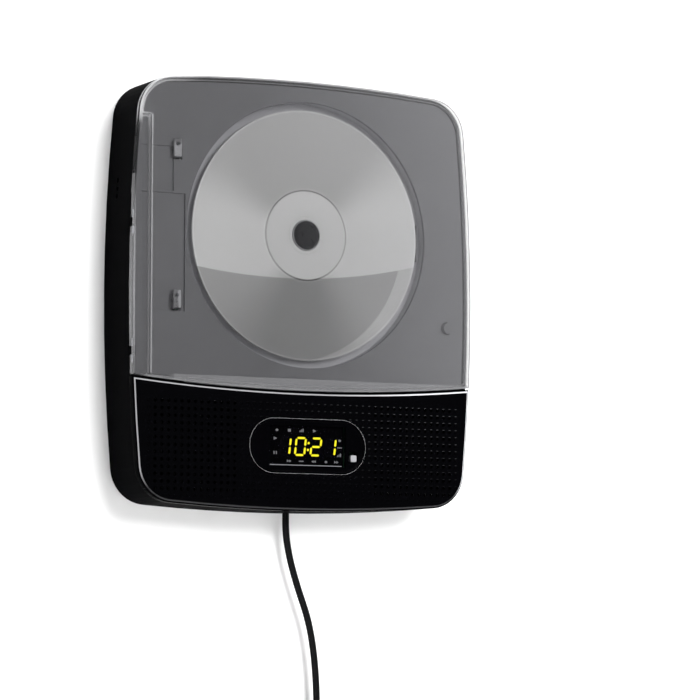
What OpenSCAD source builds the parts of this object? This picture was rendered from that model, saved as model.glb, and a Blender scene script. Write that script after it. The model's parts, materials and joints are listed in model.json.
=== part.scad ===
// Wall mounted compact disc player: smoked lid over a disc well, speaker grille with a
// display window below it, a disc mechanism behind the well and a lead from the bottom edge.
// Origin: centre of the back face on the wall plane. X to the right, Y into the wall, Z up.

/* [Body] */
// Width at the widest point
body_w = 181; // [176:1:190]
// Height at the tallest point
body_h = 205; // [200:1:214]
// Depth from the wall to the front of the lid
body_d = 32; // [32:0.5:36]
// Radius of the four corners
corner_r = 18; // [14:1:22]
// Radius of the long bowed edges
bow_r = 900; // [700:50:1400]
// Thickness of the moulded walls
wall_t = 2.2; // [2:0.1:2.6]

/* [Lid] */
// Thickness of the lid plate
lid_t = 2; // [1.6:0.1:2.2]
// Depth of the lid from its front to the back of its rim
lid_d = 3.9; // [3.6:0.1:4]
// Height of the lowest point of the lid's bottom edge
lid_bottom_z = -45.4; // [-47:0.2:-44]
// Clear gap between the lid and the grille
lid_gap = 0.8; // [0.6:0.1:1.2]

/* [Disc] */
// Diameter of the disc
disc_d = 120; // [120:1:120]
// Sideways place of the spindle
disc_x = 3; // [0:0.5:4]
// Height of the spindle
disc_z = 29.4; // [28:0.2:30]
// Radius of the round well that the disc lies in
well_r = 63.8; // [63:0.2:64]

/* [Sled] */
// Travel of the optical sled
sled_travel = 33; // [20:1:33]
// Module of the drive train's teeth
gear_module = 0.8; // [0.8:0.1:0.8]

/* [Grille] */
// Spacing of the holes in the speaker grille
hole_pitch = 3.4; // [3.2:0.1:4]
// Diameter of the holes in the speaker grille
hole_d = 1.4; // [1:0.1:1.8]
// Sideways distance of each loudspeaker from the middle
speaker_x = 59; // [56:1:60]

/* [Buttons] */
// Number of push buttons along the top edge
button_count = 6; // [6:1:6]
// Spacing of the push buttons
button_pitch = 15; // [13:1:15]

/* [Hidden] */

half_w = body_w / 2;
half_h = body_h / 2;

// Planes along Y, from the front of the lid back to the wall
front_y = -body_d;
lid_inner_y = front_y + lid_t;
lid_back_y = front_y + lid_d;
deck_y = lid_back_y + 0.5;
deck_t = 2;
deck_back_y = deck_y + deck_t;
deck_edge_z = lid_bottom_z + 0.9;
ledge_t = 1.6;
ledge_w = 9;
disc_t = 1.2;
disc_front_y = deck_y + 1.9;
disc_back_y = disc_front_y + disc_t;
well_floor_y = deck_y + 6;
well_floor_t = 1.7;
well_back_y = well_floor_y + well_floor_t;
chassis_y = well_back_y + 2.3;
chassis_t = 1.6;
chassis_back_y = chassis_y + chassis_t;
cover_y = -2.2;

// The lid's hinge line: an upright axis inside the left rim
hinge_x = -half_w + 1.4;
hinge_y = lid_inner_y + 0.5;
hinge_stations = [-30, 30];
pin_r = 0.4;
pin_gap = 0.05;
knuckle_r = 0.95;
ear_r = 0.9;
ear_l = 4;
knuckle_l = 3.5;
rim_relief = 0.6;
pin_l = ear_l + 2 * knuckle_l + 0.4;

// The two stop arms: quarter rings about the hinge axis
arm_r = 23.5;
arm_w = 2;
arm_t = 3;
arm_angle = 76;
arm_zs = [63.5, -7.5];
pocket_left = -84;
pocket_right = -61.6;
pocket_bottom = -10.5;
pocket_top = 67;
pocket_step_z = 46;
pocket_deep = 0.8;

// Drive train
pitch_mm = PI * gear_module;
small_teeth = 12;
wheel_teeth = 30;
pinion_teeth = 9;
small_r = small_teeth * gear_module / 2;
wheel_r = wheel_teeth * gear_module / 2;
pinion_r = pinion_teeth * gear_module / 2;
mesh_gap = 0.12;
rack_pitch_z = disc_z - 22;
gear_x = disc_x + 43.5;
gear_z = rack_pitch_z - small_r - mesh_gap;
motor_angle = -60;
motor_reach = wheel_r + pinion_r + mesh_gap;
motor_x = gear_x + motor_reach * cos(motor_angle);
motor_z = gear_z + motor_reach * sin(motor_angle);

// Sled and its rods, given from the spindle
sled_x = disc_x + 12.5;
sled_l = 25;
rod_r = 1.5;
rod_zs = [disc_z + 20, disc_z - 14];
rod_y = chassis_back_y + 3.5;
sled_front_y = chassis_back_y + 0.5;
sled_back_y = chassis_back_y + 6.4;
lens_x = disc_x + 25;

// Where the mechanism hangs on its rubber grommets
grommet_points = [
    [disc_x - 22, disc_z - 26], [disc_x - 22, disc_z + 26],
    [disc_x + 71, disc_z - 26], [disc_x + 71, disc_z + 26]
];
boss_points = [[-80, 90], [80, 90], [-80, -90], [80, -90], [-79, -42], [79, -42]];
latch_x = 79;
latch_z = -12;
latch_travel = 1.5;

speaker_z = -73;
speaker_r = 21;
display_x = 0.9;
display_z = -71.9;
display_w = 61.6;
display_h = 26;
lcd_z = -71.1;

// Where the circuit boards are screwed down, and the posts of the side board
board_points = [[-59, -11], [-32, -11], [-59, 59], [-32, 59]];
board_y = -17.4;
board_t = 1.6;
side_posts = [[71.6, 62.4], [73.6, 78]];

keyhole_x = 50;
keyhole_z = 62;
keyhole_entry_r = 4.2;
keyhole_slot_r = 2.1;

button_w = 9;
button_y = -13;
button_depth = 4.4;
button_travel = 0.8;
board_z = 91;

usb_z = 67;
aux_z = 80;
socket_y = -14;

// The lead: a flat twin cord, its free stretch given by points set by hand
cord_d = 3.5;
cord_exit = [2.6, -6, -half_h];
cord_route = [
    [2.6, -6, -96], [2.6, -6, -102.5], [2.6, -6, -108], [3, -6, -114], [4, -6, -120],
    [5.4, -6, -126], [7.2, -6, -132], [9.2, -6, -138], [11.4, -6, -144], [13.6, -6, -150],
    [15.6, -6, -157], [17.2, -6, -165], [18.4, -6, -174], [19.2, -6, -184],
    [19.6, -6, -195], [19.7, -6, -206], [19.7, -6, -216.5]
];

// The coil: spirals in and out about an axis along Y, four layers deep
coil_turns = 2.75;
coil_step = 4.1;
coil_in_r = 14.5;
coil_layers = 4;
coil_x = 19.7 - coil_in_r - coil_turns * coil_step;
coil_z = -220;
coil_y = -6;
coil_rings = 24;
coil_sides = 6;

function mirror_pts(q) = concat(
    q,
    [for (i = [len(q) - 2:-1:0]) [-q[i].x, q[i].y]],
    [for (i = [1:len(q) - 1]) [-q[i].x, -q[i].y]],
    [for (i = [len(q) - 2:-1:1]) [q[i].x, -q[i].y]]
);

// One quarter of the outline: bowed side, round corner and bowed top, all tangent
function quarter(a, b, bow, r) =
    let (
        p = bow - a,
        q = bow - b,
        span = sqrt(p * p + q * q),
        reach = sqrt((bow - r) * (bow - r) - span * span / 4),
        c = [-p / 2 + q / span * reach, -q / 2 + p / span * reach],
        t1 = atan2(c.y, c.x + p),
        t2 = atan2(c.y + q, c.x)
    )
    concat(
        [for (i = [0:4]) [-p + bow * cos(t1 * i / 4), bow * sin(t1 * i / 4)]],
        [for (i = [1:9]) c + r * [cos(t1 + (t2 - t1) * i / 9), sin(t1 + (t2 - t1) * i / 9)]],
        [for (i = [1:4]) [bow * cos(t2 + (90 - t2) * i / 4), -q + bow * sin(t2 + (90 - t2) * i / 4)]]
    );

// Height of the bowed top edge at a sideways place, and the side edge at a height
function top_z(x) = half_h - bow_r + sqrt(bow_r * bow_r - x * x);
function side_x(z) = half_w - bow_r + sqrt(bow_r * bow_r - z * z);

// A post behind the well starts on its floor, one outside it on the deck
function post_front(p) = (norm(p - [disc_x, disc_z]) > well_r ? deck_back_y : well_back_y) - 0.2;

// Teeth with tapered flanks; turn is the angle of the first tooth's middle
function gear_pts(teeth, turn) = [
    for (i = [0:teeth - 1], k = [0:3])
    let (
        r = teeth * gear_module / 2 + (k == 0 || k == 3 ? -1.15 : 0.85) * gear_module,
        part = [-0.31, -0.12, 0.12, 0.31][k],
        a = turn + (i + part) * 360 / teeth
    )
    [r * cos(a), r * sin(a)]
];

module outline(inset = 0) {
    polygon(mirror_pts(quarter(half_w - inset, half_h - inset, bow_r - inset, corner_r - inset)));
}

// Extrudes a front view between two planes along Y
module slab(front, back) {
    translate([0, back, 0]) rotate([90, 0, 0]) linear_extrude(back - front) children();
}

// A cylinder along Y at a place in the front view
module rod(x, z, r, front, back) {
    translate([x, back, z]) rotate([90, 0, 0]) cylinder(h = back - front, r = r, $fn = 48);
}

module box(low, high) {
    translate(low) cube(high - low);
}

module pill(w, h) {
    for (s = [-1, 1]) translate([s * (w - h) / 2, 0]) circle(d = h, $fn = 64);
    square([w - h, h], center = true);
}

module round_rect(w, h, r) {
    for (x = [-1, 1], z = [-1, 1]) translate([x * (w / 2 - r), z * (h / 2 - r)]) circle(r, $fn = 24);
    square([w - 2 * r, h], center = true);
    square([w, h - 2 * r], center = true);
}

// Everything above the curve that parts the lid from the grille
module above_split(z) {
    intersection() {
        translate([0, z + bow_r]) circle(bow_r, $fn = 360);
        translate([-body_w, z - 10]) square([2 * body_w, 2 * body_h]);
    }
}

module main_housing() color("#101012") {
    difference() {
        union() {
            slab(deck_y, 0) difference() {
                outline();
                outline(wall_t);
            }
            slab(deck_y, deck_back_y) difference() {
                outline(0.4);
                above_split(deck_edge_z);
            }
            deck_ledge();
            for (p = boss_points) rod(p.x, p.y, 3.5, deck_back_y - (p.y < -60 ? 0.2 : 0), cover_y);
            for (z = hinge_stations) hinge_ear(z);
            slab(front_y + 2.6, deck_y + 0.2) difference() {
                translate([display_x, display_z]) pill(display_w + 3.4, display_h + 3.4);
                translate([display_x, display_z]) pill(display_w - 3.2, display_h - 3.2);
            }
            for (s = [-1, 1]) board_rail(s);
        }
        slab(deck_y - 1, deck_back_y + 1) {
            for (s = [-1, 1]) translate([s * speaker_x, speaker_z]) circle(18.5, $fn = 96);
            translate([display_x - 28, lcd_z - 11.5]) square([56, 23]);
        }
        for (p = boss_points) rod(p.x, p.y, 1.25, -14, cover_y + 1);
        for (i = [0:button_count - 1]) button_hole(i);
        box([half_w - 7, socket_y - 3.5, usb_z - 7.5], [half_w + 2, socket_y + 3.5, usb_z + 7.5]);
        translate([half_w - 7, socket_y, aux_z]) rotate([0, 90, 0]) cylinder(h = 11, r = 3.6, $fn = 48);
        box([cord_exit.x - 4, -9.5, -half_h - 1], [cord_exit.x + 4, -2.5, -half_h + 4]);
        for (k = [-1:1])
            translate([-half_w - 1, -11.6, 47.7 + 3.8 * k]) rotate([0, 90, 0]) cylinder(h = 6, r = 1.2, $fn = 24);
        for (z = hinge_stations)
            translate([hinge_x, hinge_y, z - pin_l / 2]) cylinder(h = pin_l, r = pin_r, $fn = 32);
    }
}

// Ledge inside the walls that the disc deck lies on, joined to the plate below the deck
module deck_ledge() {
    difference() {
        union() {
            slab(deck_back_y, deck_back_y + ledge_t) intersection() {
                outline(wall_t - 0.1);
                above_split(deck_edge_z - 4);
            }
            slab(deck_back_y - 0.4, deck_back_y + ledge_t) intersection() {
                difference() {
                    outline(wall_t - 0.1);
                    above_split(deck_edge_z);
                }
                above_split(deck_edge_z - 4);
            }
        }
        slab(deck_back_y - 1, deck_back_y + ledge_t + 1) {
            intersection() {
                outline(wall_t + ledge_w);
                above_split(deck_edge_z + 2);
            }
            translate([disc_x, disc_z]) circle(well_r + 2, $fn = 180);
            translate([latch_x, latch_z]) round_rect(13.4, 12.4, 1);
        }
    }
}

// Inner panel with the disc well; the mechanism and the boards hang on its back
module disc_deck() color("#8a8a8c") {
    difference() {
        union() {
            slab(deck_y, deck_back_y) difference() {
                intersection() {
                    outline(wall_t + 0.15);
                    above_split(deck_edge_z + 0.1);
                }
                translate([disc_x, disc_z]) circle(well_r, $fn = 180);
            }
            slab(deck_y, well_back_y) translate([disc_x, disc_z]) difference() {
                circle(well_r + 1.7, $fn = 180);
                circle(well_r, $fn = 180);
            }
            slab(well_floor_y, well_back_y) translate([disc_x, disc_z]) circle(well_r + 0.8, $fn = 180);
            for (p = grommet_points) rod(p.x, p.y, 3.2, post_front(p), chassis_y - 0.6);
            for (p = board_points) rod(p.x, p.y, 2.6, post_front(p), board_y);
            for (p = side_posts) rod(p.x, p.y, 1.8, post_front(p), socket_y + 3.2);
            slab(deck_back_y - 0.2, -19) translate([latch_x, latch_z]) difference() {
                round_rect(12.6, 11.6, 1);
                round_rect(10.2, 9.2, 0.5);
            }
        }
        slab(well_floor_y - 1, well_back_y + 1) translate([disc_x, disc_z]) {
            circle(21, $fn = 96);
            translate([0, -9]) square([62.6, 18]);
        }
        slab(deck_y - 1, deck_y + pocket_deep) {
            translate([pocket_left, pocket_bottom])
                square([pocket_right - pocket_left, pocket_step_z - pocket_bottom - 1]);
            translate([pocket_left, pocket_step_z])
                square([pocket_right - pocket_left - 6, pocket_top - pocket_step_z]);
        }
        slab(deck_y - 1, deck_back_y + 1) {
            for (z = arm_zs) translate([hinge_x + arm_r - 2.3, z - 2.6]) square([4.6, 5.2]);
            translate([latch_x, latch_z]) circle(3, $fn = 48);
        }
        for (p = grommet_points) rod(p.x, p.y, 1.2, chassis_y - 3, chassis_y);
        for (p = board_points) rod(p.x, p.y, 1, board_y - 3, board_y + 1);
    }
}

// Ear on the housing's front edge that holds one hinge pin
module hinge_ear(z) {
    translate([hinge_x, hinge_y, z - ear_l / 2]) cylinder(h = ear_l, r = ear_r, $fn = 48);
    box([hinge_x - 0.7, hinge_y, z - ear_l / 2], [hinge_x + 0.8, deck_y + 0.4, z + ear_l / 2]);
}

// Grooved rail that one end of the button board slides into
module board_rail(s) {
    difference() {
        box([s * 46.8 - 1.8, deck_back_y + 0.2, board_z - 2], [s * 46.8 + 1.8, button_y + 6, board_z + 3.6]);
        box([s * 45.4 - 1.6, button_y - 5, board_z], [s * 45.4 + 1.6, button_y + 7, board_z + 1.6]);
    }
}

module button_hole(i) {
    x = (i - (button_count - 1) / 2) * button_pitch;
    box([x - button_w / 2 - 0.4, button_y - button_depth / 2 - 0.4, half_h - 8],
        [x + button_w / 2 + 0.4, button_y + button_depth / 2 + 0.4, half_h + 3]);
}

module keyhole() {
    circle(keyhole_entry_r, $fn = 64);
    translate([-keyhole_slot_r, 0]) square([2 * keyhole_slot_r, 9]);
    translate([0, 9]) circle(keyhole_slot_r, $fn = 48);
}

module rear_cover() color("#17171a") {
    difference() {
        union() {
            slab(cover_y, 0) outline(wall_t + 0.1);
            for (s = [-1, 1]) slab(cover_y - 3.2, cover_y + 0.1)
                translate([s * keyhole_x, keyhole_z + 4]) difference() {
                    round_rect(16, 24, 4);
                    round_rect(13.6, 21.6, 3);
                }
        }
        slab(cover_y - 1, 1) {
            for (s = [-1, 1]) translate([s * keyhole_x, keyhole_z]) keyhole();
            for (i = [-5:5]) translate([i * 6, -40]) pill_slot(2.4, 26);
        }
        for (p = boss_points) {
            rod(p.x, p.y, 1.7, cover_y - 1, 1);
            rod(p.x, p.y, 3.1, cover_y + 0.9, 1);
        }
    }
}

module pill_slot(w, h) {
    square([w, h - w], center = true);
    for (s = [-1, 1]) translate([0, s * (h - w) / 2]) circle(d = w, $fn = 24);
}

// One screw along Y: head at the back, shank towards the front
module screw(x, z, head_r, shank_r, head_y, head_h, shank_l) {
    difference() {
        union() {
            rod(x, z, head_r, head_y - head_h, head_y);
            rod(x, z, shank_r, head_y - head_h - shank_l, head_y - head_h + 0.1);
        }
        for (a = [0, 90])
            translate([x, head_y, z]) rotate([0, a, 0])
                cube([head_r * 1.1, head_h, 0.5], center = true);
    }
}

module rear_cover_screws() color("#8d9096") {
    for (p = boss_points) screw(p.x, p.y, 2.9, 1.25, -0.1, 1.2, 9);
}

// Holes of the grille: full rows in front of each loudspeaker
module grille_holes() {
    for (s = [-1, 1], i = [-6:6], j = [-6:6])
        translate([s * round(speaker_x / hole_pitch) * hole_pitch + i * hole_pitch,
            speaker_z + j * hole_pitch])
            circle(d = hole_d, $fn = 16);
}

module below_split(inset = 0) {
    difference() {
        outline(inset);
        above_split(lid_bottom_z - lid_gap - inset);
    }
}

module speaker_grille() color("#141416") {
    difference() {
        union() {
            slab(front_y, front_y + 1.5) below_split(1.4);
            slab(front_y + 0.7, front_y + 1.5) below_split(0.7);
            slab(front_y + 1.4, deck_y) difference() {
                below_split();
                below_split(2);
            }
            slab(front_y + 1.4, front_y + 1.5) below_split();
        }
        slab(front_y - 1, front_y + 3) {
            grille_holes();
            translate([display_x, display_z]) pill(display_w + 0.3, display_h + 0.3);
        }
    }
}

module display_window() color("#08080a") {
    slab(front_y - 0.6, front_y + 1.1) translate([display_x, display_z]) difference() {
        pill(display_w, display_h);
        pill(display_w - 2.4, display_h - 2.4);
    }
    slab(front_y - 0.2, front_y + 1.1) translate([display_x, display_z]) difference() {
        pill(display_w - 2.2, display_h - 2.2);
        translate([24.6, -5.1]) square(3.4, center = true);
    }
    slab(front_y + 1, front_y + 2.6) translate([display_x, display_z]) difference() {
        pill(display_w, display_h);
        pill(display_w - 3.2, display_h - 3.2);
    }
}

module indicator_lens() color("white") {
    slab(front_y - 0.1, deck_back_y) translate([display_x + 24.6, display_z - 5.1])
        round_rect(3.1, 3.1, 0.7);
}

module lcd_module() color("#1a1626") {
    slab(front_y + 1.7, front_y + 3.2) translate([display_x, lcd_z]) square([39, 20], center = true);
    slab(front_y + 3.1, front_y + 5.4) translate([display_x, lcd_z]) difference() {
        square([41, 20.4], center = true);
        square([36, 17], center = true);
    }
    slab(front_y + 5.2, front_y + 6.4) translate([display_x, lcd_z]) square([41, 20.4], center = true);
}

module display_board() color("#1f5f3a") {
    slab(deck_back_y, deck_back_y + 1.6) translate([display_x, lcd_z]) round_rect(68, 30, 1.5);
    for (x = [-27, 26])
        slab(deck_back_y + 1.5, deck_back_y + 4.4) translate([display_x + x, lcd_z + 6]) square([9, 5], center = true);
}

// Flat ribbon that climbs from the display board to the main board
module display_ribbon() color("#d8d8d2") {
    side = [
        [deck_back_y + 4.4, lcd_z + 3.6], [deck_back_y + 4.4, lcd_z + 8.4], [-18.6, -52],
        [-14.4, -38], [-13, -24], [-13, -6]
    ];
    ribbon_t = 0.4;
    translate([display_x - 31, 0, 0]) rotate([90, 0, 90]) linear_extrude(8) polygon(concat(
        side,
        [for (i = [len(side) - 1:-1:0]) side[i] + [ribbon_t, 0]]
    ));
}

module lid() color("#77777a") {
    difference() {
        union() {
            slab(front_y, lid_inner_y) intersection() {
                outline(0.6);
                above_split(lid_bottom_z + 0.6);
            }
            slab(front_y + 0.6, lid_inner_y) intersection() {
                outline();
                above_split(lid_bottom_z);
            }
            slab(lid_inner_y - 0.1, lid_back_y) difference() {
                intersection() {
                    outline();
                    above_split(lid_bottom_z);
                }
                intersection() {
                    outline(1.8);
                    above_split(lid_bottom_z + 1.8);
                }
                translate([-half_w - 1, lid_bottom_z - 3]) square([half_w - 60.7, 7.5]);
            }
            slab(lid_inner_y - 0.1, lid_inner_y + 1.5) {
                translate([-81.2, -40]) square([1.3, 121]);
                translate([-86, 80]) square([5, 1.3]);
            }
            for (z = hinge_stations, s = [-1, 1])
                translate([hinge_x, hinge_y, z + s * (ear_l / 2 + 0.3 + knuckle_l / 2) - knuckle_l / 2]) {
                    cylinder(h = knuckle_l, r = knuckle_r, $fn = 48);
                    translate([0, -0.6, 0]) cube([knuckle_r - 0.15, 0.6, knuckle_l]);
                }
        }
        for (z = hinge_stations) {
            box([hinge_x - 3, hinge_y - 1.25, z - ear_l / 2 - 0.3],
                [hinge_x + 1.3, lid_back_y + 1, z + ear_l / 2 + 0.3]);
            translate([hinge_x, hinge_y, z - pin_l / 2 - 0.2])
                cylinder(h = pin_l + 0.4, r = pin_r + pin_gap, $fn = 32);
        }
        box([-half_w - 1, lid_back_y - rim_relief, -44], [hinge_x + 1, lid_back_y + 1, 44]);
        for (z = arm_zs) rod(hinge_x + arm_r - 1, z + 4.4, 0.7, lid_inner_y - 0.9, lid_back_y);
    }
}

module hinge_pins() color("#b9bcc2") {
    for (z = hinge_stations)
        translate([hinge_x, hinge_y, z - pin_l / 2]) cylinder(h = pin_l, r = pin_r, $fn = 32);
}

// A ring sector about the hinge axis with a stop lug at its tail and a screwed foot
module stop_arm(z) color("#3a3a3e") {
    translate([hinge_x, hinge_y, z - arm_t / 2]) {
        rotate([0, 0, 2]) rotate_extrude(angle = arm_angle - 2, $fn = 120)
            translate([arm_r - arm_w / 2, 0]) square([arm_w, arm_t]);
        rotate([0, 0, arm_angle - 6]) rotate_extrude(angle = 6, $fn = 120)
            translate([arm_r - arm_w / 2 - 2.2, 0]) square([arm_w + 2.3, arm_t]);
    }
    difference() {
        union() {
            box([hinge_x + arm_r - 2.6, lid_inner_y, z - arm_t / 2],
                [hinge_x + arm_r + 1, hinge_y + 1.1, z + arm_t / 2]);
            box([hinge_x + arm_r - 2.8, lid_inner_y, z - arm_t / 2],
                [hinge_x + arm_r + 1, lid_inner_y + 1.2, z + 6.8]);
        }
        rod(hinge_x + arm_r - 1, z + 4.4, 0.8, lid_inner_y - 1, lid_back_y + 1);
    }
}

module stop_arms() {
    for (z = arm_zs) stop_arm(z);
}

module stop_arm_screws() color("#8d9096") {
    for (z = arm_zs) {
        rod(hinge_x + arm_r - 1, z + 4.4, 0.7, lid_inner_y - 0.9, lid_inner_y + 1.3);
        rod(hinge_x + arm_r - 1, z + 4.4, 1.4, lid_inner_y + 1.2, lid_inner_y + 1.8);
    }
}

module latch_body() color("#2b2b2f") {
    slab(deck_back_y, -13) translate([latch_x, latch_z]) difference() {
        round_rect(10, 9, 0.8);
        circle(2.9, $fn = 48);
    }
    slab(-13.1, -12) translate([latch_x, latch_z]) round_rect(10, 9, 0.8);
}

module latch_plunger() color("#2b2b2f") {
    rod(latch_x, latch_z, 2.55, lid_inner_y + 0.35, -17);
    rod(latch_x, latch_z, 1.2, -17.1, -15);
}

// Forked light barrier that the lower arm's tail closes when the lid is shut
module lid_sensor() color("#1c1c1f") {
    z = arm_zs[1];
    box([-87, cover_y - 1.8, z - 6], [-78, cover_y, z + 6]);
    for (s = [-1, 1]) box([-86, -9, z + s * 3.6 - 1.3], [-80, cover_y - 1.7, z + s * 3.6 + 1.3]);
}

module disc() color("#c9c9c9") {
    translate([disc_x, disc_back_y, disc_z]) rotate([90, 0, 0]) {
        difference() {
            cylinder(h = disc_t, r = disc_d / 2, $fn = 180);
            translate([0, 0, -1]) cylinder(h = disc_t + 2, r = 7.5, $fn = 64);
            translate([0, 0, disc_t - 0.12]) rotate_extrude($fn = 96) translate([21.6, 0]) square([0.7, 1]);
        }
        rotate_extrude($fn = 96) translate([17, -0.25]) square([0.8, 0.3]);
    }
}

module turntable() color("#2a2a2c") {
    translate([disc_x, 0, disc_z]) rotate([90, 0, 0]) difference() {
        union() {
            translate([0, 0, -disc_back_y - 1.6]) cylinder(h = 1.6, r = 13, $fn = 96);
            rotate_extrude($fn = 96) polygon([
                [0, -disc_back_y - 0.1], [7.15, -disc_back_y - 0.1], [7.15, -disc_front_y + 0.2],
                [6.2, -disc_front_y + 1.6], [5.4, -disc_front_y + 2], [0, -disc_front_y + 2]
            ]);
            translate([0, 0, -chassis_y + 0.3]) cylinder(h = chassis_y - disc_back_y, r = 4, $fn = 64);
        }
        translate([0, 0, -chassis_y - 2]) cylinder(h = chassis_y - disc_back_y + 3, r = 1, $fn = 32);
        for (a = [0:120:240])
            rotate(a) translate([6.4, 0, -disc_front_y - 0.35]) sphere(r = 1, $fn = 32);
        for (a = [60:120:300])
            rotate(a) translate([0, 0, -disc_front_y + 1.3]) translate([2.6, -0.9, 0]) cube([2.2, 1.8, 2]);
    }
}

module chuck_balls() color("#c4c7cc") {
    translate([disc_x, 0, disc_z]) rotate([90, 0, 0])
        for (a = [0:120:240])
            rotate(a) translate([6.4, 0, -disc_front_y - 0.35]) sphere(r = 1, $fn = 32);
}

module spindle_shaft() color("#b9bcc2") {
    rod(disc_x, disc_z, 1, disc_back_y + 0.2, chassis_back_y + 6);
}

module spindle_motor() color("#9a9da3") {
    difference() {
        union() {
            rod(disc_x, disc_z, 11, chassis_back_y, chassis_back_y + 9);
            rod(disc_x, disc_z, 3.4, chassis_y + 0.2, chassis_back_y + 0.1);
            rod(disc_x, disc_z, 4, chassis_back_y + 8.9, chassis_back_y + 10);
        }
        rod(disc_x, disc_z, 1.08, chassis_y - 1, chassis_back_y + 6.5);
        for (s = [-1, 1]) rod(disc_x + s * 8, disc_z, 0.9, chassis_back_y - 1, chassis_back_y + 3);
    }
}

module chassis_shape() {
    difference() {
        union() {
            translate([disc_x + 24.5, disc_z]) round_rect(103, 60, 5);
            translate([gear_x + 3, disc_z - 38]) round_rect(38, 22, 4);
        }
        translate([disc_x, disc_z]) circle(3.6, $fn = 48);
        translate([disc_x + 15, disc_z - 10]) square([54, 20]);
        for (p = grommet_points) translate(p) circle(3, $fn = 48);
        for (s = [-1, 1]) translate([disc_x - 4, disc_z + s * 20]) round_rect(16, 8, 3);
    }
}

module mechanism_chassis() color("#b4b2ac") {
    slab(chassis_y, chassis_back_y) chassis_shape();
    for (z = rod_zs, x = [disc_x + 8, disc_x + 72.4]) difference() {
        box([x, chassis_back_y - 0.1, z - 3.2], [x + 2.4, rod_y + 3, z + 3.2]);
        translate([x - 1, rod_y, z]) rotate([0, 90, 0]) cylinder(h = 5, r = rod_r, $fn = 32);
    }
    for (s = [-1, 1])
        box([disc_x - 16, chassis_back_y - 0.1, disc_z + s * 29.2 - 0.8],
            [disc_x + 30, chassis_back_y + 3, disc_z + s * 29.2 + 0.8]);
    rod(gear_x, gear_z, 1, chassis_back_y - 0.1, chassis_back_y + 10.2);
    rod(gear_x, gear_z, 2.4, chassis_back_y - 0.1, chassis_back_y + 2.9);
}

module guide_rods() color("#c4c7cc") {
    for (z = rod_zs)
        translate([disc_x + 8, rod_y, z]) rotate([0, 90, 0]) cylinder(h = 66.8, r = rod_r, $fn = 32);
}

module pickup_sled() color("#46464a") {
    difference() {
        union() {
            box([sled_x, sled_front_y, disc_z - 11], [sled_x + sled_l, sled_back_y, disc_z + 15]);
            for (x = [sled_x, sled_x + sled_l - 7])
                box([x, sled_front_y + 0.9, rod_zs[0] - 5.2], [x + 7, sled_back_y, rod_zs[0] + 2.9]);
            box([sled_x + 8, sled_front_y, rod_zs[1] - 5.1], [sled_x + 17, sled_back_y, rod_zs[1] + 3.2]);
        }
        for (z = rod_zs)
            translate([sled_x - 1, rod_y, z]) rotate([0, 90, 0]) cylinder(h = sled_l + 2, r = rod_r + 0.06, $fn = 32);
        box([sled_x + 3, sled_back_y - 1.6, disc_z - 6], [sled_x + sled_l - 3, sled_back_y + 1, disc_z + 10]);
    }
    box([lens_x - 4, well_floor_y - 0.6, disc_z - 6], [lens_x + 4, sled_front_y + 0.1, disc_z + 6]);
}

module objective_lens() color("#7f95c9") {
    translate([lens_x, well_floor_y - 0.6, disc_z]) rotate([90, 0, 0]) rotate_extrude($fn = 64)
        polygon([[0, 0], [3, 0], [3, 0.45], [2, 0.7], [1, 0.95], [0, 1.05]]);
}

// Toothed strip along the sled's lower edge
module sled_rack() color("#e6e2d6") {
    teeth = 15;
    left = gear_x - 14 * pitch_mm;
    low = rack_pitch_z - 0.85 * gear_module;
    root = rack_pitch_z + 1.15 * gear_module;
    slab(rod_y + 0.1, sled_back_y - 0.2) {
        translate([left - pitch_mm / 2, root]) square([teeth * pitch_mm, rod_zs[1] - 5.1 - root]);
        for (i = [0:teeth - 1])
            polygon([
                [left + (i - 0.31) * pitch_mm, root + 0.05], [left + (i - 0.12) * pitch_mm, low],
                [left + (i + 0.12) * pitch_mm, low], [left + (i + 0.31) * pitch_mm, root + 0.05]
            ]);
    }
}

module sled_gear() color("#e6e2d6") {
    mid_y = sled_back_y + 0.3;
    difference() {
        union() {
            slab(rod_y - 0.4, mid_y + 0.1) translate([gear_x, gear_z]) polygon(gear_pts(small_teeth, 15));
            slab(mid_y, mid_y + 2) translate([gear_x, gear_z]) difference() {
                polygon(gear_pts(wheel_teeth, 0));
                for (a = [30:60:330]) rotate(a) translate([7.4, 0]) circle(2.1, $fn = 32);
            }
            rod(gear_x, gear_z, 2.4, mid_y + 1.9, mid_y + 3);
        }
        rod(gear_x, gear_z, 1.08, rod_y - 2, mid_y + 4);
    }
}

module motor_pinion() color("#c9a64a") {
    mid_y = sled_back_y + 0.3;
    slab(mid_y - 0.3, mid_y + 2.2) translate([motor_x, motor_z]) polygon(gear_pts(pinion_teeth, 20));
    rod(motor_x, motor_z, 0.9, chassis_back_y + 3, mid_y);
}

module sled_motor() color("#9a9da3") {
    difference() {
        union() {
            rod(motor_x, motor_z, 7.5, chassis_back_y, sled_back_y - 0.6);
            rod(motor_x, motor_z, 2.4, sled_back_y - 0.7, sled_back_y - 0.3);
        }
        rod(motor_x, motor_z, 0.98, chassis_back_y + 2.8, sled_back_y + 1);
    }
}

module damper_grommets() color("#2e2e30") {
    for (p = grommet_points) translate([p.x, chassis_y, p.y]) rotate([-90, 0, 0])
        rotate_extrude($fn = 48) polygon([
            [1.3, -0.6], [4, -0.6], [4, 0], [3, 0], [3, chassis_t],
            [4, chassis_t], [4, chassis_t + 1], [1.3, chassis_t + 1]
        ]);
}

module mechanism_screws() color("#8d9096") {
    for (p = grommet_points) screw(p.x, p.y, 2.8, 1.2, chassis_back_y + 2.2, 1.2, 5);
}

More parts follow.
